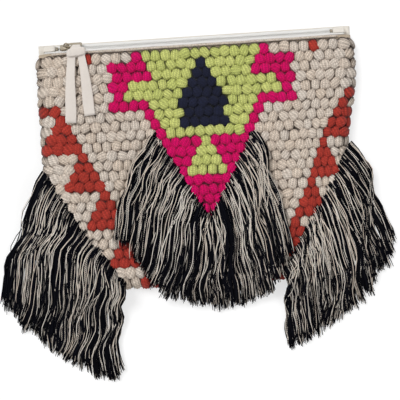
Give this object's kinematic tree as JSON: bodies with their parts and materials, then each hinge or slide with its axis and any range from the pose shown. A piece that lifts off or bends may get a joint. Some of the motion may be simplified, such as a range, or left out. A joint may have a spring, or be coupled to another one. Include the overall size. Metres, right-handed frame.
{
  "type": "fringed zip clutch bag",
  "caption": "Flat rectangular zip clutch bag whose front is worked in thick yarn knots in a stepped geometric pattern, with slanting yarn fringes and a ribbon on the zip pull.",
  "frame": {"origin": "middle of the front's width and height, on the flat underside of the back panel that the bag lies on", "axes": "+X along the zip from the closed slider to the far end, +Y up the front to the zip, +Z out of the front"},
  "size_m": [0.3609, 0.3226, 0.0268],
  "materials": {
    "yarn_cream": "matt twisted cotton and wool yarn",
    "yarn_lime": "matt twisted yarn",
    "yarn_magenta": "matt twisted yarn",
    "yarn_navy": "matt twisted yarn",
    "yarn_rust": "matt twisted yarn",
    "fringe_yarn": "loose black and cream strands",
    "ground_cloth": "plain woven cotton",
    "canvas": "plain cotton canvas",
    "lining_cloth": "thin plain cotton",
    "zip_tape": "woven tape",
    "zip_teeth": "off-white nylon",
    "nickel": "plated",
    "suede": "soft pale suede"
  },
  "bodies": {
    "bag": {"back_panel": "canvas", "fringe_centre": "fringe_yarn", "fringe_left": "fringe_yarn", "fringe_right": "fringe_yarn", "front_cloth": "ground_cloth", "knots_cream_1": "yarn_cream", "knots_cream_2": "yarn_cream", "knots_cream_3": "yarn_cream", "knots_cream_4": "yarn_cream", "knots_cream_5": "yarn_cream", "knots_lime_1": "yarn_lime", "knots_magenta_1": "yarn_magenta", "knots_navy_1": "yarn_navy", "knots_rust_1": "yarn_rust", "knots_rust_2": "yarn_rust", "knots_rust_3": "yarn_rust", "knots_rust_4": "yarn_rust", "lining": "lining_cloth", "selvedge": "yarn_cream", "zip_bottom_stop": "nickel", "zip_end_tab_left": "canvas", "zip_end_tab_right": "canvas", "zip_tape_back": "zip_tape", "zip_tape_front": "zip_tape", "zip_teeth_back": "zip_teeth", "zip_teeth_front": "zip_teeth", "zip_top_stop_back": "nickel", "zip_top_stop_front": "nickel"},
    "slider": {"slider_body": "nickel"},
    "pull": {"pull_tab": "nickel", "pull_ribbon": "suede"}
  },
  "joints": [
    {"name": "slider_slide", "type": "slide", "parent": "bag", "child": "slider", "axis": [1, 0, 0], "range_m": [0, 0.2452]},
    {"name": "pull_tab_hinge", "type": "hinge", "parent": "slider", "child": "pull", "pos_m": [-0.12045, 0.11784, 0.00907], "axis": [0, -0.607, 0.7947], "range_deg": [0, 160]}
  ]
}
